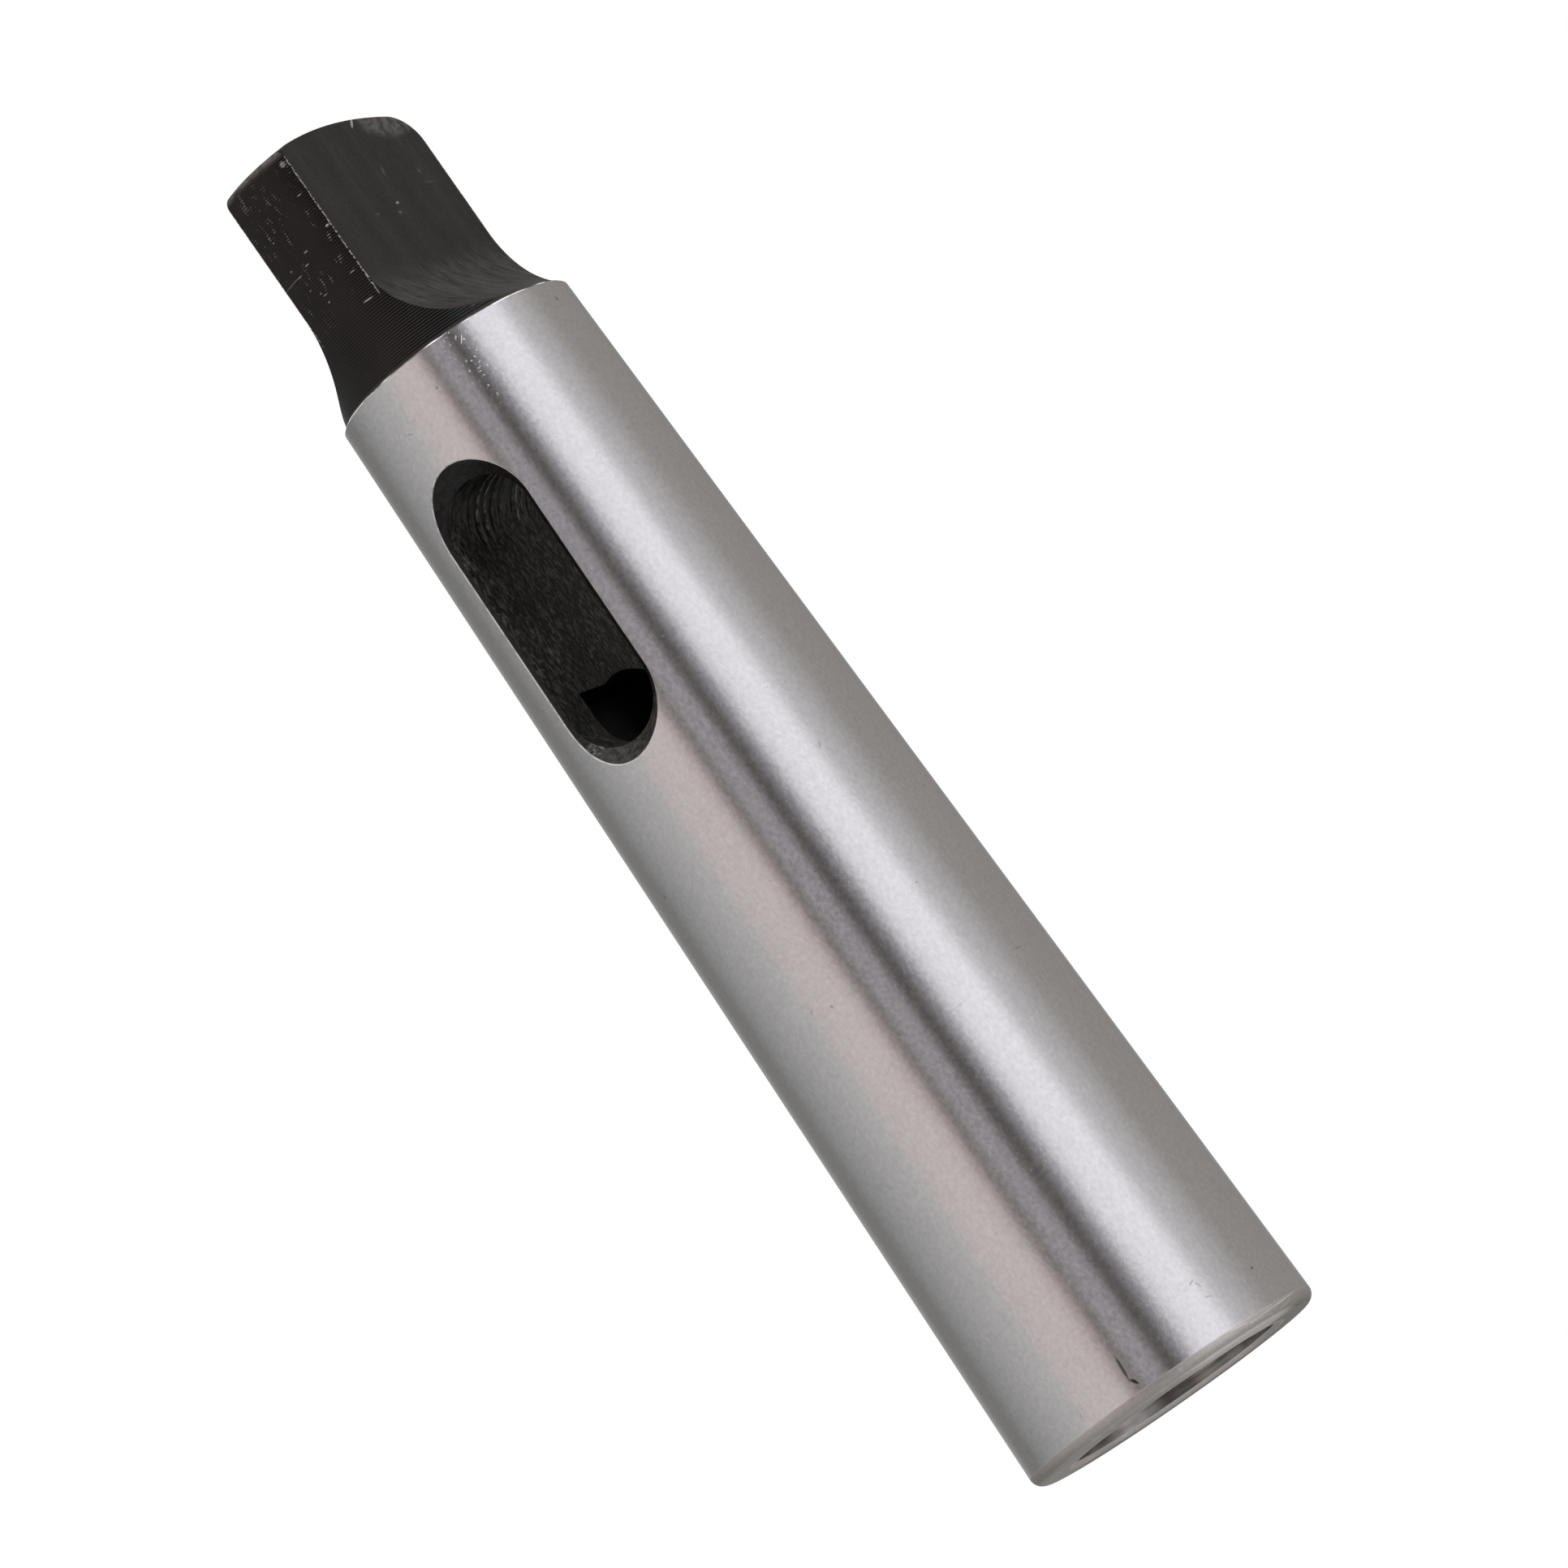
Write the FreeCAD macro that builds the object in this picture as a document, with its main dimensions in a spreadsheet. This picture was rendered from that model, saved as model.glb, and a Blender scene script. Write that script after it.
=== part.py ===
"""Morse taper reducing sleeve: a ground outside taper with a driving tang, and a smaller taper socket inside.

Frame: millimetres, +Z up. The sleeve stands on its big end, with the origin at the centre of that face.
The drift slot runs along Y and the tang's flats face +X and -X.
"""
import FreeCAD, Part
import os
import Sketcher
from FreeCAD import Vector

os.makedirs("parts", exist_ok=True)
doc = FreeCAD.newDocument("taper_sleeve")

# Driving sizes in millimetres, unless the note says otherwise
SIZES = [
    ("gauge_diameter", 23.825, "outside taper's diameter at its gauge plane"),
    ("gauge_offset", 18.0, "gauge plane above the big end's face"),
    ("outside_taper", 19.922, "outside cone: length that changes the diameter by 1"),
    ("cone_length", 93.4, "big end's face to the end of the ground cone"),
    ("rim_radius", 0.95, "rounding of the big end's outer edge"),
    ("shoulder_break", 0.35, "height of the bevel where the ground cone ends"),
    ("tang_diameter", 18.45, "turned diameter of the tang"),
    ("tang_length", 19.9, "end of the ground cone to the tip of the tang"),
    ("tang_thickness", 6.75, "across the tang's flats"),
    ("neck_height", 4.0, "end of the ground cone to the top of the hollow neck"),
    ("neck_radius", 16.6, "radius of the hollow neck"),
    ("runout_radius", 7.8, "radius of the cutter that ends each flat at the shoulder"),
    ("tip_rise", 1.1, "height of the tang's domed end"),
    ("tip_corner", 1.2, "rounding of the tip's corner that kept its shape"),
    ("tip_worn_corner", 2.8, "rounding of the tip's corner that is knocked round"),
    ("socket_diameter", 17.78, "socket's diameter at the big end's face"),
    ("socket_taper", 20.02, "socket: length that changes the diameter by 1"),
    ("socket_depth", 67.0, "big end's face to the flat bottom of the socket"),
    ("mouth_bevel", 0.28, "bevel of the socket's mouth"),
    ("relief_diameter", 14.9, "plain bore behind the socket's taper"),
    ("pilot_diameter", 9.4, "drilled centre of the socket's bottom"),
    ("pilot_half_angle", 59.0, "half the drill's point angle, in degrees"),
    ("slot_width", 7.5, "drift slot, between its side walls"),
    ("slot_length", 22.9, "drift slot, over its round ends"),
    ("slot_lead", 5.9, "drift slot's start below the socket's bottom"),
    ("bevel_depth", 1.55, "depth of the slot's countersunk mouth below the cone's crown"),
    ("bevel_angle", 45.0, "slope of the slot's countersunk mouth, in degrees"),
    ("bevel_shift", 0.4, "how far the countersink stands off the slot's middle"),
    ("bevel_lap", 0.5, "how far the countersink's tool reaches on below its edge with the slot"),
    ("cut_margin", 2.0, "how far cutting profiles reach past the metal"),
]

sheet = doc.addObject("Spreadsheet::Sheet", "sizes")
for row, (alias, value, note) in enumerate(SIZES, start=1):
    sheet.set(f"A{row}", alias)
    sheet.set(f"B{row}", str(value))
    sheet.set(f"C{row}", note)
    sheet.setAlias(f"B{row}", alias)
doc.recompute()

# Sizes that follow from the driving ones
BIG_RADIUS = "(sizes.gauge_diameter + sizes.gauge_offset / sizes.outside_taper) / 2"
SMALL_RADIUS = f"({BIG_RADIUS} - sizes.cone_length / (2 * sizes.outside_taper))"
TANG_RADIUS = "sizes.tang_diameter / 2"
TOTAL_LENGTH = "(sizes.cone_length + sizes.tang_length)"
NECK_BOTTOM = "(sizes.cone_length + sizes.shoulder_break)"
NECK_TOP = "(sizes.cone_length + sizes.neck_height)"
NECK_SPAN = "(sizes.neck_height - sizes.shoulder_break)"
NECK_CENTRE = f"({TANG_RADIUS} + sizes.neck_radius)"
NECK_FOOT = f"({NECK_CENTRE} - sqrt(sizes.neck_radius ^ 2 - {NECK_SPAN} ^ 2))"
DOME_EDGE = f"({TOTAL_LENGTH} - sizes.tip_rise)"
DOME_RADIUS = f"((({TANG_RADIUS}) ^ 2 + sizes.tip_rise ^ 2) / (2 * sizes.tip_rise))"
FLAT = "sizes.tang_thickness / 2"
FLAT_START = "(sizes.cone_length + sizes.runout_radius)"
CUT_REACH = f"({BIG_RADIUS} + sizes.cut_margin)"
CUT_TOP = f"({TOTAL_LENGTH} + sizes.cut_margin)"
RELIEF_RADIUS = "sizes.relief_diameter / 2"
RELIEF_START = "((sizes.socket_diameter - sizes.relief_diameter) * sizes.socket_taper)"
MOUTH_RADIUS = "(sizes.socket_diameter / 2 + sizes.mouth_bevel)"
THROAT_RADIUS = "(sizes.socket_diameter - sizes.mouth_bevel / sizes.socket_taper) / 2"
PILOT_RADIUS = "sizes.pilot_diameter / 2"
PILOT_TIP = f"(sizes.socket_depth + {PILOT_RADIUS} / tan(sizes.pilot_half_angle * 1 deg))"
SLOT_RADIUS = "sizes.slot_width / 2"
SLOT_LOW = f"(sizes.socket_depth - sizes.slot_lead + {SLOT_RADIUS})"
SLOT_HIGH = f"(sizes.socket_depth - sizes.slot_lead + sizes.slot_length - {SLOT_RADIUS})"
CONE_SLOPE = "atan(1 / (2 * sizes.outside_taper))"
BEVEL_FOOT = f"({SLOT_RADIUS} - sizes.bevel_lap * tan(sizes.bevel_angle * 1 deg))"

START, END, CENTRE = 1, 2, 3
ORIGIN, ACROSS, UP = (-1, 1), -1, -2


def measure(formula):
    """The number that a formula of the sheet's sizes gives."""
    value = sheet.evalExpression(formula)
    return float(getattr(value, "Value", value))


def origin_plane(body, role):
    """One of the body's own origin planes."""
    return next(item for item in body.Origin.OriginFeatures if item.Role == role)


def new_sketch(body, name, role="XZ_Plane"):
    """An empty sketch on one of the body's origin planes."""
    sketch = body.newObject("Sketcher::SketchObject", name)
    sketch.AttachmentSupport = [(origin_plane(body, role), "")]
    sketch.MapMode = "FlatFace"
    return sketch


def line(sketch, start, end):
    """A line between two points that are given as pairs of formulas."""
    ends = [Vector(measure(across), measure(up), 0) for across, up in (start, end)]
    return sketch.addGeometry(Part.LineSegment(*ends), False)


def arc(sketch, centre, start, end):
    """An arc about a centre, counter-clockwise from one point to the other."""
    middle, first, last = [Vector(measure(across), measure(up), 0) for across, up in (centre, start, end)]
    angles = [(point - middle).getAngle(Vector(1, 0, 0)) * (1 if point.y >= middle.y else -1)
              for point in (first, last)]
    circle = Part.Circle(middle, Vector(0, 0, 1), (first - middle).Length)
    return sketch.addGeometry(Part.ArcOfCircle(circle, *angles), False)


def bind(sketch, kind, *where, formula):
    """A dimension of the sketch that follows a formula."""
    index = sketch.addConstraint(Sketcher.Constraint(kind, *where, measure(formula)))
    name = f"size_{index}"
    sketch.renameConstraint(index, name)
    sketch.setExpression(f"Constraints.{name}", formula)


def pin(sketch, geometry, position, across=None, up=None):
    """Places one point of a sketch; "0" puts it on the sketch's own axis."""
    for kind, axis, formula in (("DistanceX", UP, across), ("DistanceY", ACROSS, up)):
        if formula == "0":
            sketch.addConstraint(Sketcher.Constraint("PointOnObject", geometry, position, axis))
        elif formula is not None:
            bind(sketch, kind, *ORIGIN, geometry, position, formula=formula)


def join(sketch, *ends):
    """Joins pairs of ends, each given as geometry and position."""
    for first, second in ends:
        sketch.addConstraint(Sketcher.Constraint("Coincident", *first, *second))


def polygon(sketch, corners):
    """A chain of lines through corners that are pairs of formulas, each corner but the last pinned."""
    lines = [line(sketch, start, end) for start, end in zip(corners, corners[1:])]
    for index, (across, up) in zip(lines, corners):
        pin(sketch, index, START, across, up)
    join(sketch, *[((first, END), (second, START)) for first, second in zip(lines, lines[1:])])
    return lines


def feature(body, kind, name, profile=None):
    """A feature of the body, with the sketch that it uses."""
    item = body.newObject(f"PartDesign::{kind}", name)
    if profile is not None:
        item.Profile = profile
        profile.Visibility = False
    return item


def edges_where(shape, test):
    """Names of the edges of a shape that pass a test."""
    return [f"Edge{number}" for number, edge in enumerate(shape.Edges, start=1) if test(edge)]


def near(value, target, tolerance=0.02):
    """Whether two lengths agree."""
    return abs(value - target) < tolerance


def volume_after(body, before, name):
    """Recomputes, and stops if the newest feature took no metal away."""
    doc.recompute()
    after = body.Shape.Volume
    if not 0 < after < before:
        raise RuntimeError(f"{name} removed nothing: {before:.1f} to {after:.1f} cubic millimetres")
    return after


def turn_outside(body):
    """Rim, ground cone, shoulder, hollow neck, tang and domed tip, turned about the axis."""
    sketch = new_sketch(body, "turned_outline")
    chain = polygon(sketch, [
        ("0", "0"),
        (BIG_RADIUS, "0"),
        (SMALL_RADIUS, "sizes.cone_length"),
        (NECK_FOOT, NECK_BOTTOM),
    ])
    neck = arc(sketch, (NECK_CENTRE, NECK_TOP), (TANG_RADIUS, NECK_TOP), (NECK_FOOT, NECK_BOTTOM))
    bind(sketch, "Radius", neck, formula="sizes.neck_radius")
    pin(sketch, neck, CENTRE, NECK_CENTRE, NECK_TOP)
    pin(sketch, neck, START, up=NECK_TOP)
    pin(sketch, neck, END, up=NECK_BOTTOM)
    side = line(sketch, (TANG_RADIUS, NECK_TOP), (TANG_RADIUS, DOME_EDGE))
    dome_centre = f"{TOTAL_LENGTH} - {DOME_RADIUS}"
    dome = arc(sketch, ("0", dome_centre), (TANG_RADIUS, DOME_EDGE), ("0", TOTAL_LENGTH))
    pin(sketch, dome, CENTRE, across="0")
    pin(sketch, dome, START, TANG_RADIUS, DOME_EDGE)
    pin(sketch, dome, END, "0", TOTAL_LENGTH)
    axis = line(sketch, ("0", TOTAL_LENGTH), ("0", "0"))
    join(sketch,
         ((chain[-1], END), (neck, END)), ((neck, START), (side, START)), ((side, END), (dome, START)),
         ((dome, END), (axis, START)), ((axis, END), (chain[0], START)))
    turned = feature(body, "Revolution", "turned_blank", sketch)
    turned.ReferenceAxis = (sketch, ["V_Axis"])
    turned.Angle = 360.0
    doc.recompute()


def round_rim(body):
    """Rounds the outer edge of the big end."""
    big_radius = measure(BIG_RADIUS)
    blank = body.Tip
    rim = edges_where(blank.Shape, lambda edge: near(edge.BoundBox.ZMax, 0)
                      and near(edge.BoundBox.XMax, big_radius))
    rounding = feature(body, "Fillet", "rim_rounding")
    rounding.Base = (blank, rim)
    rounding.setExpression("Radius", "sizes.rim_radius")


def bore_socket(body):
    """Tapered socket with a bevelled mouth, a relief bore behind the taper and a drilled centre."""
    sketch = new_sketch(body, "socket_outline")
    chain = polygon(sketch, [
        ("0", "0"),
        (MOUTH_RADIUS, "0"),
        (THROAT_RADIUS, "sizes.mouth_bevel"),
        (RELIEF_RADIUS, RELIEF_START),
        (RELIEF_RADIUS, "sizes.socket_depth"),
        (PILOT_RADIUS, "sizes.socket_depth"),
        ("0", PILOT_TIP),
        ("0", "0"),
    ])
    join(sketch, ((chain[-1], END), (chain[0], START)))
    socket = feature(body, "Groove", "taper_socket", sketch)
    socket.ReferenceAxis = (sketch, ["V_Axis"])
    socket.Angle = 360.0


def mill_flats(body):
    """Two flats that end in the cutter's round run-out at the shoulder; the second mirrors the first."""
    sketch = new_sketch(body, "flat_outline")
    runout_centre = f"({FLAT} + sizes.runout_radius)"
    chain = polygon(sketch, [
        (runout_centre, "sizes.cone_length"),
        (CUT_REACH, "sizes.cone_length"),
        (CUT_REACH, CUT_TOP),
        (FLAT, CUT_TOP),
        (FLAT, FLAT_START),
    ])
    runout = arc(sketch, (runout_centre, FLAT_START), (FLAT, FLAT_START),
                 (runout_centre, "sizes.cone_length"))
    pin(sketch, runout, CENTRE, runout_centre, FLAT_START)
    pin(sketch, runout, START, up=FLAT_START)
    join(sketch, ((chain[-1], END), (runout, START)), ((runout, END), (chain[0], START)))
    flat = feature(body, "Pocket", "tang_flat", sketch)
    flat.Midplane = True
    flat.setExpression("Length", f"2 * {CUT_REACH}")
    doc.recompute()
    pair = feature(body, "Mirrored", "tang_flats")
    pair.Originals = [flat]
    pair.MirrorPlane = (origin_plane(body, "YZ_Plane"), [""])
    body.Tip = pair


def round_tip(body):
    """Rounds the two corners of the tang's tip, one of them by wear."""
    dome_edge = measure(DOME_EDGE)
    for name, side, size in (("tip_rounding", -1, "tip_corner"), ("tip_wear", 1, "tip_worn_corner")):
        base = body.Tip
        corner = edges_where(base.Shape, lambda edge: near(edge.BoundBox.ZMin, dome_edge)
                             and near(edge.BoundBox.ZMax, dome_edge) and edge.CenterOfMass.y * side > 0)
        rounding = feature(body, "Fillet", name)
        rounding.Base = (base, corner)
        rounding.setExpression("Radius", f"sizes.{size}")
        doc.recompute()


def slot_outline(sketch, middle, radius):
    """A closed slot with round ends, upright in the sketch about a middle line."""
    right_side = f"({middle} + {radius})"
    left_side = f"({middle} - {radius})"
    right = line(sketch, (right_side, SLOT_LOW), (right_side, SLOT_HIGH))
    top = arc(sketch, (middle, SLOT_HIGH), (right_side, SLOT_HIGH), (left_side, SLOT_HIGH))
    left = line(sketch, (left_side, SLOT_HIGH), (left_side, SLOT_LOW))
    bottom = arc(sketch, (middle, SLOT_LOW), (left_side, SLOT_LOW), (right_side, SLOT_LOW))
    for end, height in ((top, SLOT_HIGH), (bottom, SLOT_LOW)):
        pin(sketch, end, CENTRE, middle, height)
        pin(sketch, end, START, up=height)
        pin(sketch, end, END, up=height)
    pin(sketch, right, START, across=right_side)
    pin(sketch, right, END, across=right_side)
    join(sketch, ((right, END), (top, START)), ((top, END), (left, START)),
         ((left, END), (bottom, START)), ((bottom, END), (right, START)))


def cut_slot(body):
    """Drift slot through both walls."""
    sketch = new_sketch(body, "slot_outline")
    slot_outline(sketch, "0", SLOT_RADIUS)
    slot = feature(body, "Pocket", "drift_slot", sketch)
    slot.Midplane = True
    slot.setExpression("Length", f"2 * {CUT_REACH}")


def countersink_slot(body):
    """Bevels the slot's two mouths to one depth below the cone's crown, from inside the slot outwards."""
    sketch = new_sketch(body, "bevel_outline")
    sketch.AttachmentOffset = FreeCAD.Placement(Vector(0, 0, 1), FreeCAD.Rotation(Vector(1, 0, 0), -1))
    sketch.setExpression("AttachmentOffset.Base.z", f"{BIG_RADIUS} - sizes.bevel_depth - sizes.bevel_lap")
    sketch.setExpression("AttachmentOffset.Rotation.Angle", f"-{CONE_SLOPE}")
    slot_outline(sketch, "sizes.bevel_shift", BEVEL_FOOT)
    bevel = feature(body, "Pocket", "slot_bevel", sketch)
    bevel.Reversed = True
    bevel.setExpression("Length", "sizes.bevel_depth + sizes.bevel_lap + sizes.cut_margin")
    bevel.setExpression("TaperAngle", "sizes.bevel_angle * 1 deg")
    doc.recompute()
    pair = feature(body, "Mirrored", "slot_bevels")
    pair.Originals = [bevel]
    pair.MirrorPlane = (origin_plane(body, "XZ_Plane"), [""])
    body.Tip = pair


def build_sleeve():
    """The sleeve, turned, bored, ground and milled from one bar."""
    body = doc.addObject("PartDesign::Body", "sleeve")
    body.Label = "sleeve"
    body.Placement = FreeCAD.Placement()
    turn_outside(body)
    volume = body.Shape.Volume
    for step in (round_rim, bore_socket, mill_flats, round_tip, cut_slot, countersink_slot):
        step(body)
        volume = volume_after(body, volume, step.__name__)
    return body


def check_and_write(bodies):
    """Stops on any failed object or unsound solid, then writes one file for each piece."""
    doc.recompute()
    for item in doc.Objects:
        if {"Invalid", "Error"} & set(item.State):
            raise RuntimeError(f"{item.Name} failed: {item.State}")
    for body in bodies:
        if body.Shape.isNull() or not body.Shape.isValid() or len(body.Shape.Solids) != 1:
            raise RuntimeError(f"{body.Label} isn't one sound solid")
    for body in bodies:
        body.Shape.exportStep(f"parts/{body.Label}.step")
        print(body.Label, f"{body.Shape.Volume:.1f} cubic millimetres", body.Shape.BoundBox)


check_and_write([build_sleeve()])
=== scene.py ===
"""Taper reducing sleeve, turned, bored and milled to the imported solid's sizes, with its studio and camera.

Frame: metres, +Z up. The sleeve stands on its big end, with the origin at the centre of that face.
The drift slot runs along Y and the tang's flats face +X and -X.
"""
import math

import bmesh
import bpy
import numpy as np
from bpy.props import FloatProperty, FloatVectorProperty, PointerProperty
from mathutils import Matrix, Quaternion, Vector


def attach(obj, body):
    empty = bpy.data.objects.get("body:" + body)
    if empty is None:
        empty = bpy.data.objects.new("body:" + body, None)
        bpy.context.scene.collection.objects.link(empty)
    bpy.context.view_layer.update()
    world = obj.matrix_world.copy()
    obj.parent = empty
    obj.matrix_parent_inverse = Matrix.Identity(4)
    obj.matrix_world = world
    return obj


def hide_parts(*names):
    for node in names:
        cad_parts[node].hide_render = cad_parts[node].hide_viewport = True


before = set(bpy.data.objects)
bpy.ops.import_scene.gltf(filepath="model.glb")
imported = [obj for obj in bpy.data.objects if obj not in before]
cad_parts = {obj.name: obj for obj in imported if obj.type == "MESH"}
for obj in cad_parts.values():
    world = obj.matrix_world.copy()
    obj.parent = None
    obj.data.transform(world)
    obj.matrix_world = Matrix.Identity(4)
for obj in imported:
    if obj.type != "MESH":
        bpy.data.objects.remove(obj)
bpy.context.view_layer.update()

bl_info = {
    "name": "Taper Sleeve",
    "version": (1, 0, 0),
    "blender": (4, 5, 0),
    "location": "3D View > Sidebar > Taper Sleeve",
    "description": "Builds a taper reducing sleeve in ground and blackened steel and sets up its studio",
    "category": "Mesh",
}

NODE = "sleeve"

# The sleeve's material slots, one for each finish
GROUND, RIM, SOCKET, BOTTOM, TANG, FLAT, SLOT, BEVEL = range(8)

# Steps of the meshes
ROUND_STEPS = 240
CONE_STEPS = 24
ARC_STEPS = 14
CUTTER_STEPS = 40
STAGE_STEPS = 96

# Lengths in metres: the cutters' reach, the floor and the light tent, and what counts as no length
CUTTER_REACH = 0.015
BEVEL_REACH = 0.002
FLOOR_DROP = 0.0001
FLOOR_HOLE = 0.00001
TENT_HOLE = 0.001
TENT_BOTTOM = -1.2
TENT_TOP = 1.9
NEXT_TO_NOTHING = 1e-7

# Marks in the steel: place, height, width and length in mm, lean in degrees, strength. On round surfaces
# the place is in degrees round from -Y, and on the flats and in the slot it is Y in mm. On the ground cone
# and in the slot, marks with a negative strength are light. The light one on the ground cone is a real
# scratch painted lighter than the steel can be, a painted glint.
TAPER_MARKS = [
    (-30.9, 50.7, 0.24, 0.22, 0, 0.4), (9.9, 36.4, 0.18, 0.22, 0, 0.45), (63.6, 52.7, 0.1, 0.8, -25, 0.3),
    (99.3, 46.6, 0.2, 0.2, 0, 0.5), (1.9, 37, 0.34, 0.12, 30, 0.3), (63, 40.4, 0.18, 0.14, 0, 0.4),
    (84.3, 32.6, 0.6, 0.1, 0, 0.35), (47, 31.1, 1.6, 0.07, 4, 0.2), (23.6, 1.75, 0.22, 0.6, 30, 1),
    (22.7, 3, 0.22, 1.7, -3, 0.8), (58.9, 5.3, 0.5, 0.1, 20, 0.45), (60.6, 4.9, 0.12, 0.45, 30, 0.4),
    (61.1, 3.8, 0.4, 0.1, -15, 0.35), (84.1, 3.9, 0.24, 0.18, 0, 0.6), (0.7, 2, 0.1, 0.4, -10, 0.35),
    (19.6, 90.5, 0.18, 0.2, 0, 0.5), (-2.7, 89.1, 0.5, 0.13, -25, 0.3), (92.4, 91.9, 0.3, 0.35, 0, 0.4),
    (39.8, 92.4, 0.08, 0.6, -35, -1.4), (170, 61, 0.12, 0.7, 30, 0.3), (-120, 33, 0.22, 0.2, 0, 0.4),
]
# Chips knocked off the tang's black; the last two rows are painted highlights on the neck
TANG_CHIPS_AND_GLINTS = [
    (3.4, 104.9, 0.32, 0.11, 0, 0.8), (-9, 107.1, 0.16, 0.1, 0, 0.6), (-9.6, 107.6, 0.16, 0.09, 0, 0.4),
    (-10.1, 104.6, 0.18, 0.1, 0, 0.5), (-7.5, 103.8, 0.4, 0.08, 0, 0.5), (-14, 103.85, 2, 0.05, 0, 0.3),
    (-0.2, 104.1, 0.34, 0.08, 0, 0.5), (-7, 102.5, 0.18, 0.1, 0, 0.4), (-2.8, 101.8, 0.18, 0.1, 0, 0.4),
    (-1.3, 101.5, 0.3, 0.08, 0, 0.4), (-1.8, 100.9, 0.2, 0.12, 0, 0.5), (15.3, 99.1, 0.7, 0.1, -4, 0.7),
    (16.8, 101.5, 0.4, 0.09, 0, 0.35), (16.8, 108.5, 0.3, 0.1, 0, 0.4), (18.6, 111.1, 0.36, 0.4, 0, 0.45),
    (19.6, 105.4, 0.26, 0.16, 0, 0.8), (62.6, 94.3, 0.9, 0.12, 0, 0.12), (56, 94.2, 0.6, 0.1, 0, 0.08),
]
FLAT_CHIPS = [
    (0.5, 105.6, 0.34, 0.15, 10, 0.6), (0.1, 104.8, 0.4, 0.26, 0, 0.1), (1.4, 108.4, 0.24, 0.9, -20, 0.05),
    (5.5, 107.7, 0.3, 0.36, 0, 0.05), (5.9, 106.6, 1, 0.12, -8, 0.05), (-2.6, 105.1, 0.34, 0.16, 0, 0.06),
    (1.6, 112.8, 0.18, 0.75, -40, 1),
]
SLOT_SCALLOPS = [
    (-6.4, 83.5, 0.34, 3, 0, 0.8), (-5.5, 83.2, 0.5, 4.4, 0, 1), (-4.5, 83.2, 0.55, 4.2, 0, 1),
    (-3.5, 83.2, 0.5, 4, 0, 1), (-5, 83, 0.4, 4, 0, -1.5), (-4, 83, 0.45, 4, 0, -1.8),
    (-2.3, 83.4, 0.3, 2.6, 0, 0.7), (0.2, 83.2, 0.32, 3.6, 0, -1.5), (0.9, 83.2, 0.26, 3.2, 0, -0.9),
    (-0.6, 83.4, 0.3, 3, 0, 0.8), (1.5, 83.2, 0.34, 3.4, 0, 0.8),
]
RIM_SCRATCHES = [
    (84, 0.72, 4, 0.08, 3, 0.5), (76, 0.5, 2.6, 0.07, -6, 0.4), (94, 0.84, 3, 0.08, 4, 0.5),
    (90, 0.45, 2, 0.07, 8, 0.4), (66, 0.8, 1.6, 0.07, -4, 0.4), (150, 0.6, 2, 0.08, 5, 0.5),
]

# Panels of the light tent: degrees round from -Y where each begins and ends, brightness at both, tint
TENT_PANELS = [
    (-116, -97, 0.27, 0.3, (1, 1, 0.98)), (-88, -72, 0.4, 0.51, (1, 1, 1)),
    (-55, -38, 0.61, 0.71, (1.01, 1, 1)), (-26, -6, 0.8, 0.82, (1.1, 1, 0.99)),
    (4, 8, 0.71, 0.49, (1.16, 1, 1)), (13, 17, 0.23, 0.28, (1.1, 1, 0.96)),
    (20, 32, 0.46, 0.44, (1.05, 1, 1.06)), (37.5, 43, 0.13, 0.09, (1.16, 1, 0.97)),
    (53, 57, 0.44, 0.88, (1.01, 1, 1.06)), (65, 86, 1.26, 1.42, (1.01, 1, 1.06)),
    (97, 101, 0.93, 0.82, (1.02, 1, 1.04)), (110, 116, 0.74, 0.66, (1.03, 1, 1.03)),
    (132, 178, 0.46, 0.37, (1.04, 1, 0.96)), (187, 192, 0.32, 0.32, (1.03, 1, 0.98)),
    (226, 231, 0.41, 0.37, (1, 1, 0.98)),
]


def millimetres(value):
    """Millimetres from metres."""
    return value * 1000


def number(name, description, default, least=0.0, **kind):
    """A setting that is one number."""
    return FloatProperty(name=name, description=description, default=default, min=least, **kind)


def length(name, description, default):
    """A setting in millimetres, kept in metres."""
    return number(name, description, default / 1000, unit="LENGTH", precision=5)


def factor(name, description, default):
    """A setting from 0 to 1."""
    return number(name, description, default, max=1.0, subtype="FACTOR")


def tilt(name, description, default):
    """A setting that is an angle in degrees, kept in radians."""
    return FloatProperty(name=name, description=description, default=math.radians(default),
                         subtype="ANGLE", unit="ROTATION")


def paint(name, description, default):
    """A setting that is a colour."""
    return FloatVectorProperty(name=name, description=description, default=default,
                               min=0.0, max=1.0, subtype="COLOR")


def cone_radius(sizes, height=0.0):
    """Radius of the ground cone, at a height above the big end's face."""
    return (sizes.gauge_diameter + (sizes.gauge_offset - height) / sizes.outside_taper) / 2


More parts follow.
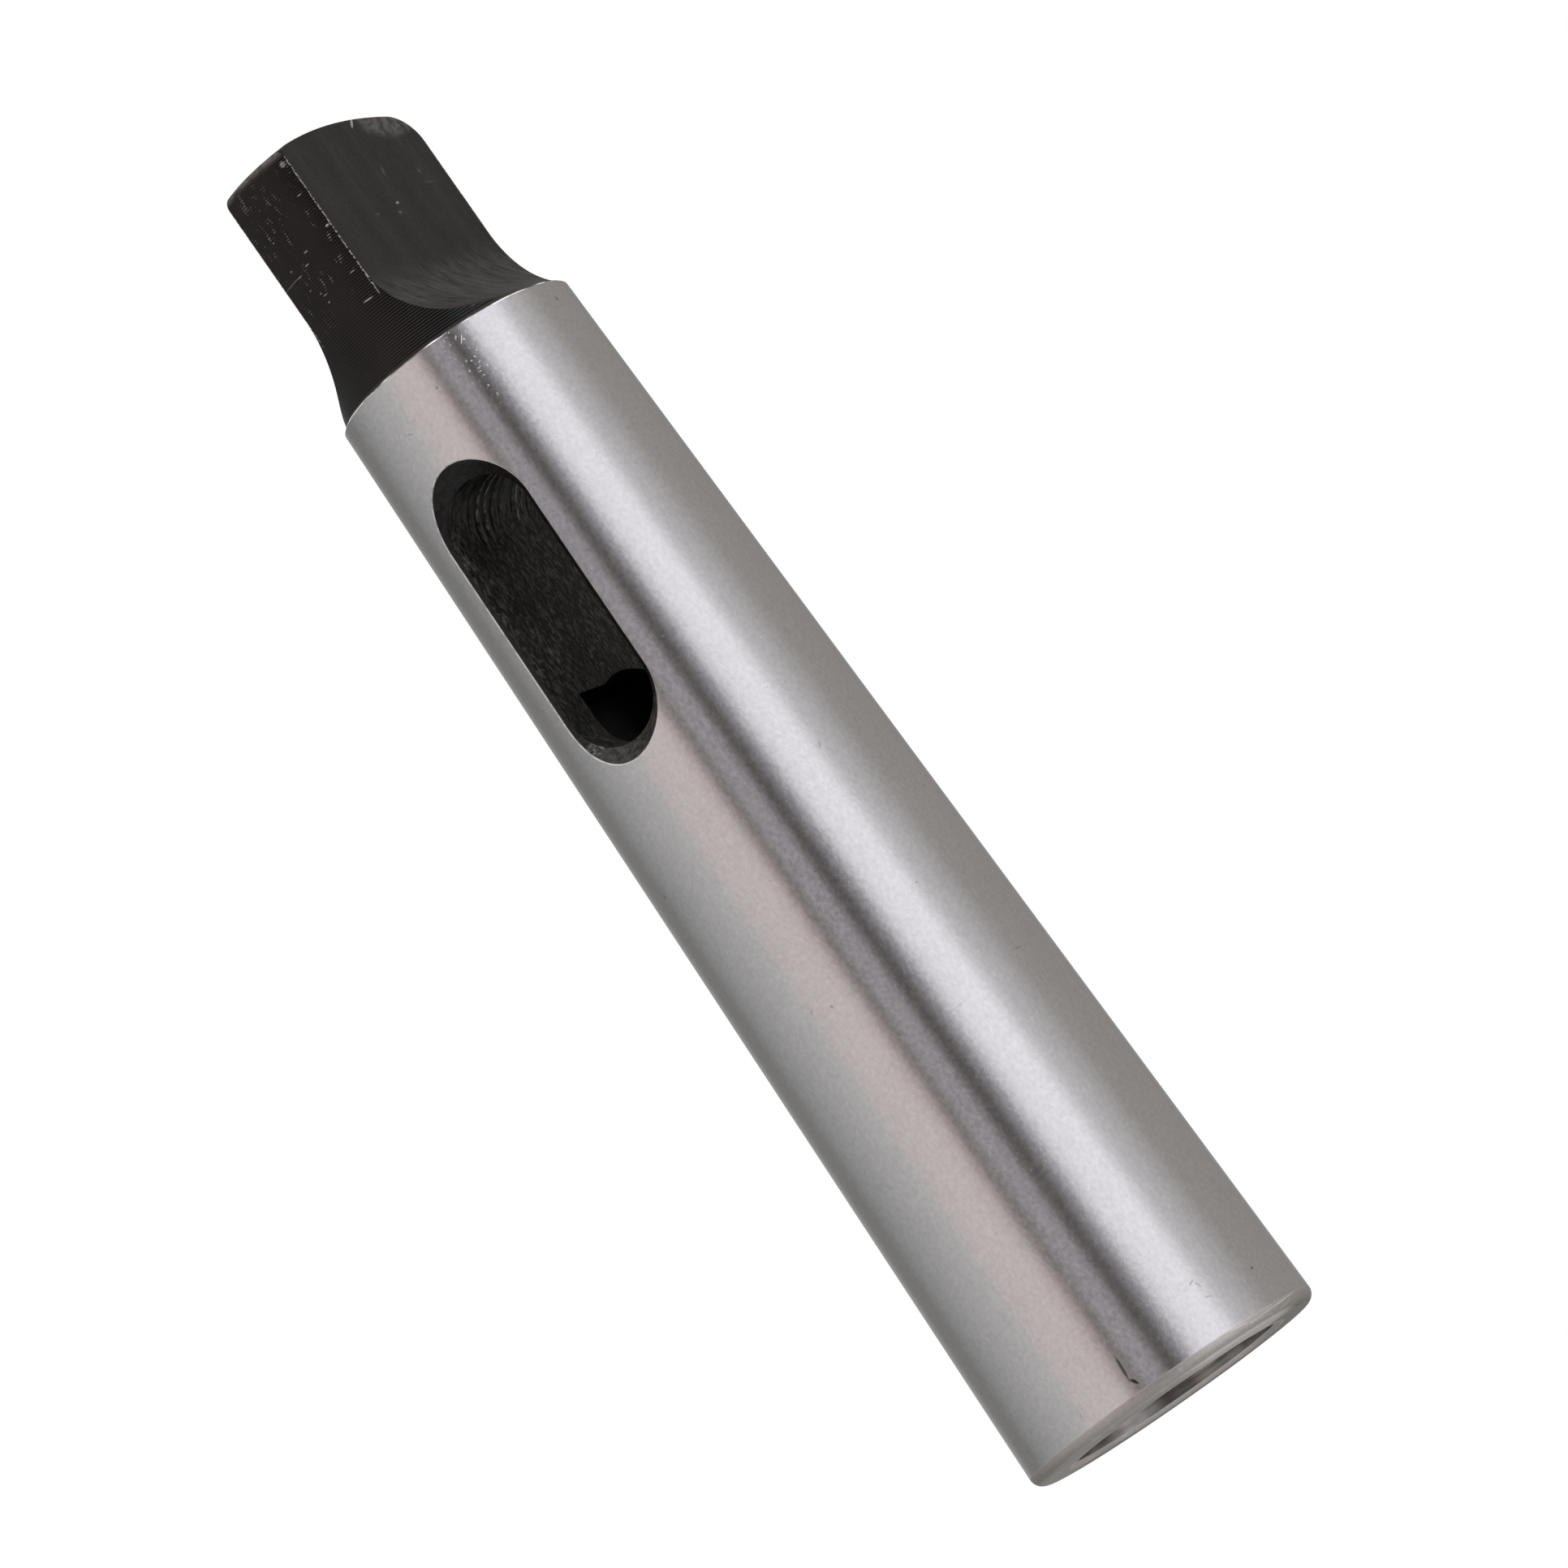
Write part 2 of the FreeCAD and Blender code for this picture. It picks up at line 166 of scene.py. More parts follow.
class Outline:
    """A chain of straight and round spans, cut into segments that keep their exact normals.

    The metal lies on the left of the chain, so the normals point to the right of its direction.
    """

    def __init__(self, start):
        self.at = start
        self.segments = []

    def move(self, point):
        """Goes on from another point, with no surface between."""
        self.at = point

    def add(self, end, finish, first_normal, last_normal):
        """One segment with the normals at its two ends."""
        self.segments.append((self.at, end, first_normal, last_normal, finish))
        self.at = end

    def line(self, end, finish, steps=1):
        """A straight span."""
        start = self.at
        across, up = end[0] - start[0], end[1] - start[1]
        size = math.hypot(across, up)
        normal = (up / size, -across / size)
        for step in range(1, steps + 1):
            share = step / steps
            point = end if step == steps else (start[0] + across * share, start[1] + up * share)
            self.add(point, finish, normal, normal)

    def arc(self, centre, end, finish):
        """A round span about a centre, the short way round to its end."""
        start = self.at
        radius = math.dist(start, centre)
        first = math.atan2(start[1] - centre[1], start[0] - centre[0])
        last = math.atan2(end[1] - centre[1], end[0] - centre[0])
        swing = (last - first + math.pi) % (2 * math.pi) - math.pi
        side = 1 if swing > 0 else -1
        turns = [first + swing * step / ARC_STEPS for step in range(ARC_STEPS + 1)]
        ways = [(math.cos(turn), math.sin(turn)) for turn in turns]
        points = [(centre[0] + radius * way[0], centre[1] + radius * way[1]) for way in ways[1:-1]] + [end]
        for before, after, point in zip(ways, ways[1:], points):
            self.add(point, finish, *[(side * way[0], side * way[1]) for way in (before, after)])


def turned_outline(sizes, tip_corner):
    """Outline of the turned and bored blank as radius and height, from the socket's mouth round to it."""
    slope = 1 / (2 * sizes.outside_taper)
    big = cone_radius(sizes)
    small = big - sizes.cone_length * slope
    slant = math.atan(slope)
    rim = sizes.rim_radius
    rim_centre = (big - slope * rim - rim / math.cos(slant), rim)
    rim_end = (rim_centre[0] + rim * math.cos(slant), rim_centre[1] + rim * math.sin(slant))
    mouth = (sizes.socket_diameter / 2 + sizes.mouth_bevel, 0.0)

    chain = Outline(mouth)
    chain.line((rim_centre[0], 0.0), RIM, 4)
    chain.arc(rim_centre, rim_end, RIM)
    chain.line((small, sizes.cone_length), GROUND, CONE_STEPS)

    tang = sizes.tang_diameter / 2
    total = sizes.cone_length + sizes.tang_length
    neck_top = sizes.cone_length + sizes.neck_height
    neck_low = sizes.cone_length + sizes.shoulder_break
    neck_centre = (tang + sizes.neck_radius, neck_top)
    foot = neck_centre[0] - math.sqrt(sizes.neck_radius ** 2 - (neck_top - neck_low) ** 2)
    chain.line((foot, neck_low), RIM)
    chain.arc(neck_centre, (tang, neck_top), TANG)

    dome_radius = (tang ** 2 + sizes.tip_rise ** 2) / (2 * sizes.tip_rise)
    dome_centre = (0.0, total - dome_radius)
    corner_across = tang - tip_corner
    corner_up = dome_centre[1] + math.sqrt((dome_radius - tip_corner) ** 2 - corner_across ** 2)
    stretch = dome_radius / (dome_radius - tip_corner)
    corner_end = (corner_across * stretch, dome_centre[1] + (corner_up - dome_centre[1]) * stretch)
    chain.line((tang, corner_up), TANG, 8)
    chain.arc((corner_across, corner_up), corner_end, TANG)
    chain.arc(dome_centre, (0.0, total), TANG)

    pilot = sizes.pilot_diameter / 2
    relief = sizes.relief_diameter / 2
    relief_start = (sizes.socket_diameter - sizes.relief_diameter) * sizes.socket_taper
    throat = (sizes.socket_diameter - sizes.mouth_bevel / sizes.socket_taper) / 2
    chain.move((0.0, sizes.socket_depth + pilot / math.tan(sizes.pilot_half_angle)))
    chain.line((pilot, sizes.socket_depth), BOTTOM, 3)
    chain.line((relief, sizes.socket_depth), BOTTOM, 2)
    chain.line((relief, relief_start), BOTTOM, 4)
    chain.line((throat, sizes.mouth_bevel), SOCKET, CONE_STEPS)
    chain.line(mouth, RIM)
    return chain


def in_scene(name, data):
    """An object of its own for a mesh, a lamp or a camera."""
    item = bpy.data.objects.new(name, data)
    bpy.context.scene.collection.objects.link(item)
    return item


def new_object(name, mesh):
    """An object of its own for a finished bmesh."""
    data = bpy.data.meshes.new(name)
    mesh.to_mesh(data)
    mesh.free()
    return in_scene(name, data)


def turn_blank(front, back):
    """The turned and bored blank. Its outline at -Y is the front one, and at +Y the back one."""
    mesh = bmesh.new()
    angles = [2 * math.pi * (step + 0.5) / ROUND_STEPS for step in range(ROUND_STEPS)]

    def ring(front_point, back_point):
        if front_point[0] < NEXT_TO_NOTHING:
            return [mesh.verts.new((0.0, 0.0, front_point[1]))]
        points = [back_point if math.sin(angle) > 0 else front_point for angle in angles]
        return [mesh.verts.new((radius * math.cos(angle), radius * math.sin(angle), height))
                for angle, (radius, height) in zip(angles, points)]

    rings = {}
    for front_segment, back_segment in zip(front.segments, back.segments):
        pair = []
        for front_point, back_point in zip(front_segment[:2], back_segment[:2]):
            key = (round(front_point[0], 9), round(front_point[1], 9))
            if key not in rings:
                rings[key] = ring(front_point, back_point)
            pair.append(rings[key])
        for step in range(ROUND_STEPS):
            after = (step + 1) % ROUND_STEPS
            places = ((pair[0], step), (pair[0], after), (pair[1], after), (pair[1], step))
            corners = [loop[at % len(loop)] for loop, at in places]
            face = mesh.faces.new(list(dict.fromkeys(corners)))
            face.material_index = front_segment[4]
    bmesh.ops.recalc_face_normals(mesh, faces=mesh.faces)
    return new_object("blank", mesh)


def cutter(name, lower, upper, finish):
    """A solid between two outlines of as many points each."""
    mesh = bmesh.new()
    loops = [[mesh.verts.new(point) for point in points] for points in (lower, upper)]
    for loop in loops:
        mesh.faces.new(loop)
    for step in range(len(lower)):
        after = (step + 1) % len(lower)
        mesh.faces.new((loops[0][step], loops[0][after], loops[1][after], loops[1][step]))
    for face in mesh.faces:
        face.material_index = finish
    bmesh.ops.recalc_face_normals(mesh, faces=mesh.faces)
    return new_object(name, mesh)


def cutter_along_y(name, points, finish):
    """A cutter that reaches through the whole blank, from its points across and up."""
    ends = [[(across, reach, up) for across, up in points] for reach in (-CUTTER_REACH, CUTTER_REACH)]
    return cutter(name, *ends, finish)


def stadium(middle, low, high, radius):
    """A slot with round ends as points across and up."""
    points = []
    for height, first in ((high, 0.0), (low, math.pi)):
        for step in range(CUTTER_STEPS + 1):
            angle = first + math.pi * step / CUTTER_STEPS
            points.append((middle + radius * math.cos(angle), height + radius * math.sin(angle)))
    return points


def flat_cutter(sizes, side):
    """The cutter that mills one flat and its round run-out."""
    face = sizes.tang_thickness / 2
    start = sizes.cone_length + sizes.runout_radius
    top = sizes.cone_length + sizes.tang_length + CUTTER_REACH
    points = [(CUTTER_REACH, sizes.cone_length), (CUTTER_REACH, top), (face, top)]
    for step in range(CUTTER_STEPS + 1):
        angle = math.pi + math.pi / 2 * step / CUTTER_STEPS
        points.append((face + sizes.runout_radius * (1 + math.cos(angle)),
                       start + sizes.runout_radius * math.sin(angle)))
    return cutter_along_y("flat_cutter", [(side * across, up) for across, up in points], FLAT)


class SlotPlace:
    """Where the drift slot and its countersunk mouths lie."""

    def __init__(self, sizes):
        self.radius = sizes.slot_width / 2
        self.low = sizes.socket_depth - sizes.slot_lead + self.radius
        self.high = sizes.socket_depth - sizes.slot_lead + sizes.slot_length - self.radius
        self.slant = math.atan(1 / (2 * sizes.outside_taper))
        self.foot = cone_radius(sizes) - sizes.bevel_depth - sizes.bevel_lap
        self.foot_radius = self.radius - sizes.bevel_lap * math.tan(sizes.bevel_angle)
        self.spread = math.tan(sizes.bevel_angle)
        self.shift = sizes.bevel_shift
        self.depth = sizes.bevel_depth + sizes.bevel_lap + BEVEL_REACH

    def bevel_point(self, across, up, depth, side):
        """A point of the countersink, from its place on the slanted foot plane and its reach outwards."""
        out = self.foot - up * math.sin(self.slant) + depth * math.cos(self.slant)
        return across, side * out, up * math.cos(self.slant) + depth * math.sin(self.slant)


def slot_cutter(place):
    """The cutter that mills the drift slot through both walls."""
    return cutter_along_y("slot_cutter", stadium(0.0, place.low, place.high, place.radius), SLOT)


def bevel_cutter(place, side):
    """The countersink for one mouth of the slot."""
    ends = []
    for depth in (0.0, place.depth):
        points = stadium(place.shift, place.low, place.high, place.foot_radius + depth * place.spread)
        ends.append([place.bevel_point(across, up, depth, side) for across, up in points])
    return cutter("bevel_cutter", *ends, BEVEL)


def cut(blank, cutters):
    """Takes the cutters out of the blank and returns the mesh that is left."""
    for tool in cutters:
        step = blank.modifiers.new(tool.name, "BOOLEAN")
        step.operation = "DIFFERENCE"
        step.solver = "EXACT"
        step.object = tool
    graph = bpy.context.evaluated_depsgraph_get()
    result = bpy.data.meshes.new_from_object(blank.evaluated_get(graph))
    for item in (blank, *cutters):
        spent = item.data
        bpy.data.objects.remove(item)
        bpy.data.meshes.remove(spent)
    return result


def towards_spine(across, up, low, high):
    """Unit directions in a plane from points to the upright line between two heights."""
    offset = np.stack([-across, np.clip(up, low, high) - up], 1)
    return offset / np.maximum(np.linalg.norm(offset, axis=1), NEXT_TO_NOTHING)[:, None]


def turned_normals(points, centres, counts, outline):
    """Normals of turned faces' corners, from the outline's segment nearest to each face's centre."""
    spans = np.array([segment[:4] for segment in outline.segments])
    start, along = spans[:, 0], spans[:, 1] - spans[:, 0]
    size = (along ** 2).sum(1)

    def section(places):
        return np.stack([np.hypot(places[:, 0], places[:, 1]), places[:, 2]], 1)

    middle = section(centres)
    share = np.clip(((middle[:, None] - start) * along).sum(2) / size, 0, 1)
    nearest = np.linalg.norm(start + share[..., None] * along - middle[:, None], axis=2).argmin(1)
    nearest = np.repeat(nearest, counts)
    centres = np.repeat(centres, counts, 0)
    share = ((section(points) - start[nearest]) * along[nearest]).sum(1) / size[nearest]
    share = np.clip(share, 0, 1)[:, None]
    normal = spans[nearest, 2] * (1 - share) + spans[nearest, 3] * share
    radius = np.hypot(points[:, 0], points[:, 1])
    heading = np.where(radius[:, None] > NEXT_TO_NOTHING, points[:, :2], centres[:, :2])
    heading /= np.linalg.norm(heading, axis=1)[:, None]
    return np.concatenate([heading * normal[:, :1], normal[:, 1:]], 1)


def flat_normals(points, sizes):
    """Normals of the flats and their round run-outs."""
    start = sizes.cone_length + sizes.runout_radius
    lean = np.minimum((points[:, 2] - start) / sizes.runout_radius, 0)
    normal = np.stack([np.sqrt(1 - lean ** 2), np.zeros(len(points)), -lean], 1)
    normal[:, 0] *= np.sign(points[:, 0])
    return normal


def slot_normals(points, place):
    """Normals of the slot's walls."""
    inward = towards_spine(points[:, 0], points[:, 2], place.low, place.high)
    return np.stack([inward[:, 0], np.zeros(len(points)), inward[:, 1]], 1)


def bevel_normals(points, place):
    """Normals of the slot's countersunk mouths."""
    side = np.sign(points[:, 1])
    lean, rise = math.sin(place.slant), math.cos(place.slant)
    out = side * points[:, 1] - place.foot
    up = points[:, 2] * rise - out * lean
    across, along = towards_spine(points[:, 0] - place.shift, up, place.low, place.high).T
    outward = side * (place.spread * rise - along * lean)
    normal = np.stack([across, outward, along * rise + place.spread * lean], 1)
    return normal / np.linalg.norm(normal, axis=1)[:, None]


def give_normals(mesh, sizes, place, front, back):
    """Gives every corner of the mesh the exact normal of the surface that it lies on."""
    def read(items, name, kind, width=1):
        values = np.empty(len(items) * width, kind)
        items.foreach_get(name, values)
        return values.reshape(-1, width) if width > 1 else values

    points = read(mesh.vertices, "co", float, 3)[read(mesh.loops, "vertex_index", int)]
    counts = read(mesh.polygons, "loop_total", int)
    finishes = read(mesh.polygons, "material_index", int)
    centres = read(mesh.polygons, "center", float, 3)
    normals = np.empty((len(points), 3))
    for outline, side in ((front, centres[:, 1] <= 0), (back, centres[:, 1] > 0)):
        faces = side & (finishes <= TANG)
        corners = np.repeat(faces, counts)
        normals[corners] = turned_normals(points[corners], centres[faces], counts[faces], outline)
    milled = ((FLAT, flat_normals, sizes), (SLOT, slot_normals, place), (BEVEL, bevel_normals, place))
    for finish, work_out, source in milled:
        corners = np.repeat(finishes == finish, counts)
        normals[corners] = work_out(points[corners], source)
    mesh.shade_smooth()
    mesh.normals_split_custom_set(normals)


def build_sleeve(sizes, finish):
    """The whole sleeve: turned, bored, milled, slotted and countersunk."""
    front = turned_outline(sizes, sizes.tip_corner)
    back = turned_outline(sizes, sizes.tip_worn_corner)
    place = SlotPlace(sizes)
    blank = turn_blank(front, back)
    cutters = [flat_cutter(sizes, 1), flat_cutter(sizes, -1), slot_cutter(place),
               bevel_cutter(place, 1), bevel_cutter(place, -1)]
    materials = sleeve_materials(sizes, finish)
    for item in (blank, *cutters):
        for material in materials:
            item.data.materials.append(material)
    mesh = cut(blank, cutters)
    mesh.name = "finished_sleeve"
    give_normals(mesh, sizes, place, front, back)
    piece = in_scene("finished_sleeve", mesh)
    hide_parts(NODE)
    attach(piece, "root")


class Signal:
    """A number that a shader works out at each point of a surface. Arithmetic on it adds nodes."""

    def __init__(self, graph, socket):
        self.graph = graph
        self.socket = socket

    def __add__(self, other):
        return self.graph.math("ADD", self, other)

    def __sub__(self, other):
        return self.graph.math("SUBTRACT", self, other)

    def __rsub__(self, other):
        return self.graph.math("SUBTRACT", other, self)

    def __mul__(self, other):
        return self.graph.math("MULTIPLY", self, other)

    def __truediv__(self, other):
        return self.graph.math("DIVIDE", self, other)

    def __abs__(self):
        return self.graph.math("ABSOLUTE", self)

    __radd__ = __add__
    __rmul__ = __mul__


class Graph:
    """Shader nodes of one material, each fed with numbers or with what other nodes give.

    x, y, z and radius say where a point lies, in millimetres. turn and degrees say how far round from -Y.
    """

    def __init__(self, owner):
        owner.use_nodes = True
        self.nodes = owner.node_tree.nodes
        self.links = owner.node_tree.links
        self.nodes.clear()

    def locate(self):
        """Adds the nodes that say where a point lies."""
        place = self.add("TexCoord").outputs["Object"]
        scaled = self.add("VectorMath", {0: place, "Scale": millimetres(1)}, operation="SCALE").outputs[0]
        parts = self.add("SeparateXYZ", {0: scaled}).outputs
        self.x, self.y, self.z = [Signal(self, part) for part in parts]
        self.radius = self.away(self.x, self.y)
        self.turn = self.math("ARCTAN2", self.x, self.y * -1)
        self.degrees = self.turn * (180 / math.pi)
        return self

    def feed(self, socket, value):
        """Sets a socket to a number, or joins it to another node."""
        value = getattr(value, "socket", value)
        if isinstance(value, bpy.types.NodeSocket):
            self.links.new(value, socket)
        else:
            socket.default_value = value

    def add(self, kind, sockets=None, **settings):
        """A new node with its settings made and its sockets fed."""
        node = self.nodes.new(f"ShaderNode{kind}")
        for name, value in settings.items():
            setattr(node, name, value)
        for key, value in (sockets or {}).items():
            self.feed(node.inputs[key], value)
        return node

    def math(self, operation, *values):
        """One step of arithmetic."""
        return Signal(self, self.add("Math", dict(enumerate(values)), operation=operation).outputs[0])

    def most(self, first, *others):
        """The largest of several numbers."""
        for other in others:
            first = self.math("MAXIMUM", first, other)
        return first

    def rise(self, value, low, high, bottom=0.0, top=1.0):
        """A smooth step from bottom to top as the value goes from low to high."""
        step = self.add("MapRange", {"Value": value, "From Min": low, "From Max": high, "To Min": bottom,
                                     "To Max": top}, interpolation_type="SMOOTHSTEP")
        return Signal(self, step.outputs["Result"])

    def vector(self, x, y, z):
        """Three numbers as one vector."""
        return self.add("CombineXYZ", {"X": x, "Y": y, "Z": z}).outputs[0]

    def noise(self, across, along, detail=2.0, roughness=0.5, shift=0.0):
        """Soft random values around 0, with so many grains to a mm across the axis and along it."""
        place = self.vector(self.x * across + shift, self.y * across, self.z * along)
        return self.cloud(place, detail, roughness)

    def cloud(self, place, detail=2.0, roughness=0.5):
        """Soft random values around 0 at a place of the caller's own."""
        settings = {"Vector": place, "Scale": 1.0, "Detail": detail, "Roughness": roughness}
        return Signal(self, self.add("TexNoise", settings).outputs[0]) - 0.5

    def away(self, across, up):
        """Distance from the point where both numbers are 0."""
        return self.math("SQRT", across * across + up * up)

    def tinted(self, colour, shade):
        """A colour made lighter or darker."""
        plain = colour if isinstance(colour, bpy.types.NodeSocket) else tuple(colour)
        return self.add("VectorMath", {0: plain, "Scale": shade}, operation="SCALE").outputs[0]

    def blend(self, share, first, second):
        """A colour between two others."""
        return self.add("Mix", {0: share, 6: first, 7: second}, data_type="RGBA").outputs[2]

    def marks(self, across, table):
        """Soft oval marks at places of so many millimetres across and up. Their strengths add up."""
        here = self.vector(across, self.z, 0.0)
        total = 0
        for at, height, wide, tall, lean, strength in table:
            oval = {"Vector": here, "Location": (at, height, 0.0), "Scale": (wide, tall, 1.0),
                    "Rotation": (0.0, 0.0, math.radians(lean))}
            local = self.add("Mapping", oval, vector_type="TEXTURE")
            away = self.add("VectorMath", {0: local.outputs[0]}, operation="LENGTH").outputs["Value"]
            total = self.rise(away, 0.8, 0.3, 0.0, strength) + total
        return total

    def marks_round(self, table, radius_at):
        """Marks whose places are given in degrees round the axis."""
        placed = [(math.radians(at) * radius_at(height), height, *rest) for at, height, *rest in table]
        return self.marks(self.turn * self.radius, placed)

    def metal(self, colour, roughness, height, depth, **sockets):
        """A metal surface with a relief so many millimetres deep."""
        relief = self.add("Bump", {"Height": height, "Distance": depth / millimetres(1)}).outputs[0]
        plain = {"Base Color": colour, "Roughness": roughness, "Normal": relief}
        named = {name.replace("_", " "): value for name, value in sockets.items()}
        return self.add("BsdfPrincipled", {**plain, **named})

    def grained(self, metal, amount):
        """Makes a metal spread light along the axis more than round it, as grinding and turning do."""
        way = self.add("Tangent", direction_type="RADIAL", axis="Z").outputs[0]
        self.feed(metal.inputs["Tangent"], way)
        self.feed(metal.inputs["Anisotropic"], amount)
        self.feed(metal.inputs["Anisotropic Rotation"], 0.25)

    def finish(self, surface):
        """Gives a surface to the material's output."""
        self.add("OutputMaterial", {"Surface": surface.outputs[0]})


def ground_taper(graph, sizes, finish):
    """Steel ground round the axis: a speckled grain, faint rings and a few small marks. Light specks and a
    light scratch near the shoulder are real marks painted lighter, as painted glints.
    """
    big = millimetres(cone_radius(sizes))
    marks = graph.marks_round(TAPER_MARKS, lambda height: millimetres(cone_radius(sizes, height / 1000)))
    rings = graph.noise(0.12, 7, 3, 0.6)
    grain = graph.noise(3.2, 2.6, 3, 0.6, 17)
    specks = graph.rise(graph.noise(4.5, 4.5, 1, 0.5, 47), 0.16, 0.3)
    clouds = graph.noise(0.25, 0.12, 2, 0.5, 31)
    # Light specks near the shoulder: real specks in the relief, painted lighter than the steel as painted
    # glints
    flecks_and_glints = graph.rise(graph.noise(4.6, 4.6, 0, 0.5, 71), 0.19, 0.3)
    flecks_and_glints = flecks_and_glints * graph.rise(graph.away((graph.degrees - 37) / 9, (graph.z - 91) / 6), 1, 0.3)
    rough_band = graph.rise(abs(graph.degrees - 33), 16, 8)
    scratches = 0
    for lean, shift in ((0.6, 0), (-0.9, 40)):
        across = graph.turn * (big * math.cos(lean)) + graph.z * math.sin(lean)
        along = graph.z * math.cos(lean) - graph.turn * (big * math.sin(lean))
        place = graph.vector(across * 5 + shift, along * 0.6, 0)
        scratches = graph.rise(graph.cloud(place, 1, 0.5), 0.22, 0.3) + scratches
    grit = grain * (rough_band * 0.5 + 0.42)
    # The light specks and the marks of negative strength lighten the colour: painted glints
    shade = (1 + rings * 0.08 + grit + clouds * 0.12 + flecks_and_glints + scratches * 0.16) * (1 - marks * 0.85)
    metal = graph.metal(graph.tinted(finish.steel_colour, shade),
                        finish.steel_roughness + clouds * 0.05,
                        rings * 0.2 + grain * 0.8 + specks * 0.7 + flecks_and_glints * 2 - abs(marks) * 1.2, 0.0035,
                        Metallic=1)
    graph.grained(metal, finish.steel_grain)
    return metal


def turned_rim(graph, sizes, finish):
    """The big end's face and rounded rim, with turned rings and scratches, and the shoulder's worn edge
    painted as a bright line, a painted highlight. The face's sheen, the glint at the socket's mouth, the
    rim's top edge and its lighter +X side are painted light too.
    """
    rings = graph.cloud(graph.vector(graph.radius * 7, graph.z * 7, 0), 3, 0.6)
    grain = graph.noise(4, 4, 2, 0.6, 7)
    rubs = graph.rise(graph.noise(0.9, 0.9, 3, 0.6, 3), 0.05, 0.2)
    # The shoulder's worn edge: bare steel, not metallic and painted lighter than bare steel, a painted
    # highlight line
    worn = graph.rise(graph.noise(0.5, 5, 2, 0.6, 53), -0.1, 0.12, 0.1, 1.5)
    worn = worn * (1 - graph.rise(abs(graph.degrees - 15), 14, 8) * 0.85)
    # Painted sheen on the face, lightest around 66 degrees round, and painted shade beyond about 90 degrees
    painted_face_sheen_and_shade = graph.rise(abs(graph.degrees - 66), 34, 14) * 0.65 + 0.2
    painted_face_sheen_and_shade = painted_face_sheen_and_shade - graph.rise(abs(graph.degrees), 86, 100) * 0.4
    painted_face_sheen_and_shade = painted_face_sheen_and_shade * graph.rise(graph.z, 0.3, 0.1)
    rim = millimetres(sizes.rim_radius)
    shoulder = millimetres(sizes.cone_length)
    scratches = graph.marks_round(RIM_SCRATCHES, lambda height: millimetres(sizes.gauge_diameter / 2))
    # A painted highlight along the top of the rounding, where it meets the cone
    rim_edge_highlight = graph.rise(graph.z, rim - 0.07, rim) * graph.rise(graph.z, rim + 2, rim + 1)
    black = graph.rise(graph.z, shoulder + 0.08, shoulder + 0.16)
    mouth = millimetres(sizes.socket_diameter / 2)
    # The socket's mouth edge is lighter, a real lighter edge, with a painted glint towards 72 degrees round
    lip_and_glint = graph.rise(graph.radius, mouth + 0.75, mouth + 0.45) * graph.rise(graph.z, 1, 0.5)
    lip_and_glint = lip_and_glint * graph.rise(abs(graph.degrees - 72), 24, 10, 0.4, 1)
    # Painted shade: the rim is lighter towards +X and darker towards -Y and -X
    level = graph.rise(graph.degrees, 0, 80, 0.84, 0.95)
    shade = level + rings * 0.3 + grain * 0.3 + rubs * 0.12 + scratches * 0.7
    shade = graph.math("MINIMUM", shade + rim_edge_highlight * 0.3 + lip_and_glint + painted_face_sheen_and_shade, 1.75)
    steel = graph.blend(graph.rise(graph.z, shoulder - 1, shoulder), graph.tinted(finish.rim_colour, shade),
                        graph.tinted(finish.bare_colour, worn * 1.3))
    colour = graph.blend(black, steel, graph.tinted(finish.oxide_colour, 0.8))
    metallic = graph.rise(graph.z, shoulder, shoulder - 1)
    return graph.metal(colour, finish.steel_roughness + 0.22 + grain * 0.1,
                       rings + grain * 0.4, 0.004, Metallic=metallic)


def reamed_socket(graph, sizes, finish):
    """The tapered socket: reamed steel with streaks round the axis, dulled by handling."""
    rings = graph.noise(0.15, 3, 3, 0.6, 5)
    stains = graph.noise(0.4, 0.15, 2, 0.5, 13)
    shade = graph.most(0.72 + rings * 1.3 + stains * 1.2, 0.2)
    metal = graph.metal(graph.tinted(finish.rim_colour, shade),
                        finish.steel_roughness + 0.02 + stains * 0.1, rings, 0.006, Metallic=1)
    graph.grained(metal, 0.7)
    return metal


def drilled_bottom(graph, sizes, finish):
    """The drilled and bored end of the socket: coarse rings under a dark skin."""
    rings = graph.cloud(graph.vector(graph.radius * 4, graph.z * 4, 0), 3, 0.6)
    grain = graph.noise(3, 3, 2, 0.6, 23)
    low = millimetres(sizes.socket_depth)
    # Lighter patches on the bore's wall below the socket's bottom
    pale_patches = graph.rise(graph.noise(0.8, 1.6, 3, 0.6, 43), 0.04, 0.16)
    pale_patches = pale_patches * graph.rise(graph.z, low - 1.8, low - 2.6)
    shade = graph.most(0.3 + rings * 0.6 + grain * 0.5, 0.05) + pale_patches * 4
    return graph.metal(graph.tinted(finish.oxide_colour, shade), finish.oxide_roughness + grain * 0.1,
                       rings * 1.5 + grain * 0.4, 0.012, Specular_IOR_Level=finish.oxide_shine / 3)


def worn_corners(graph, sizes):
    """1 on the flats' edges where the black is knocked off in dots."""
    across = abs(graph.x) - millimetres(sizes.tang_thickness / 2)
    edge = graph.away(across, graph.radius - millimetres(sizes.tang_diameter / 2))
    dots = graph.rise(graph.noise(4.2, 4.2, 2, 0.6, 5), -0.05, 0.06)
    start = millimetres(sizes.cone_length)
    return graph.rise(edge, 0.08, 0.03) * dots * graph.rise(graph.z, start + 5, start + 7)


def blackened(graph, finish, black, bare, roughness, height):
    """Blackened steel that shows bare metal where it is worn."""
    colour = graph.blend(bare, black, (*finish.bare_colour, 1))
    return graph.metal(colour, roughness, height + bare, 0.006, Metallic=bare,
                       Specular_IOR_Level=finish.oxide_shine / 2)


